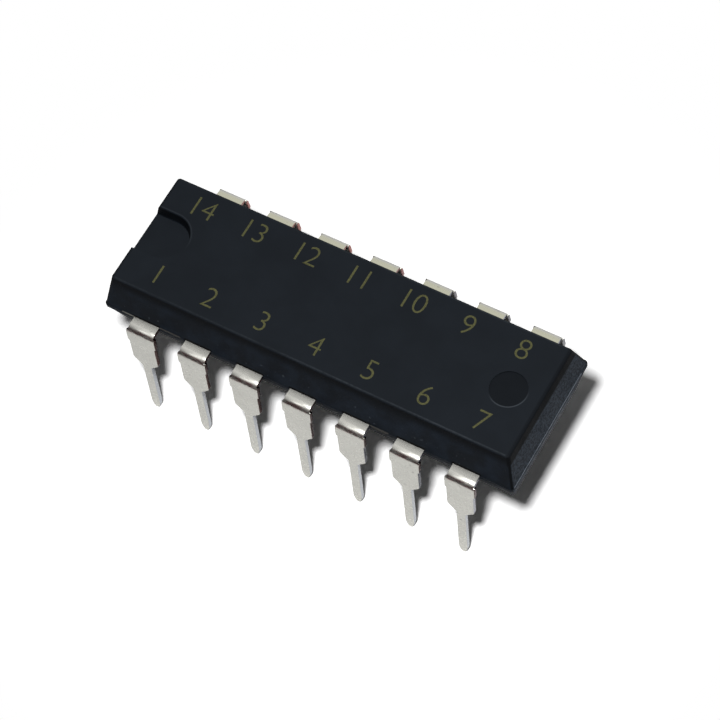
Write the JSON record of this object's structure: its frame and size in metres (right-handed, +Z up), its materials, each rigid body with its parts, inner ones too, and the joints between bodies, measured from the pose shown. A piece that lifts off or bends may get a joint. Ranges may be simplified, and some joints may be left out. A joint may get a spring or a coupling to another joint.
{
  "type": "dip integrated circuit chip",
  "caption": "Dual in-line integrated circuit: drafted moulded body with an end notch and round mould marks, and bent flat leads with sloping shoulders along both long sides.",
  "frame": {"origin": "middle of the package, at the height of the lead tips that it stands on", "axes": "+X along the body away from the notched end, +Y across the body from the row of leads 1 to 7 towards the row of leads 8 to 14, +Z up out of the top face"},
  "size_m": [0.0194, 0.0088, 0.0074],
  "materials": {
    "resin": "matt moulded epoxy",
    "tinned_copper": "dull tin plate",
    "bare_copper": "bare copper alloy",
    "silver_adhesive": "cured silver-filled adhesive",
    "silicon": "polished silicon",
    "gold": "drawn gold"
  },
  "bodies": {
    "root": {"body": "resin", "die_paddle": "bare_copper", "die_attach": "silver_adhesive", "die": "silicon", "lead_1": "tinned_copper", "lead_2": "tinned_copper", "lead_3": "tinned_copper", "lead_4": "tinned_copper", "lead_5": "tinned_copper", "lead_6": "tinned_copper", "lead_7": "tinned_copper", "lead_8": "tinned_copper", "lead_9": "tinned_copper", "lead_10": "tinned_copper", "lead_11": "tinned_copper", "lead_12": "tinned_copper", "lead_13": "tinned_copper", "lead_14": "tinned_copper", "bond_wire_1": "gold", "bond_wire_2": "gold", "bond_wire_3": "gold", "bond_wire_4": "gold", "bond_wire_5": "gold", "bond_wire_6": "gold", "bond_wire_7": "gold", "bond_wire_8": "gold", "bond_wire_9": "gold", "bond_wire_10": "gold", "bond_wire_11": "gold", "bond_wire_12": "gold", "bond_wire_13": "gold", "bond_wire_14": "gold"}
  },
  "joints": []
}
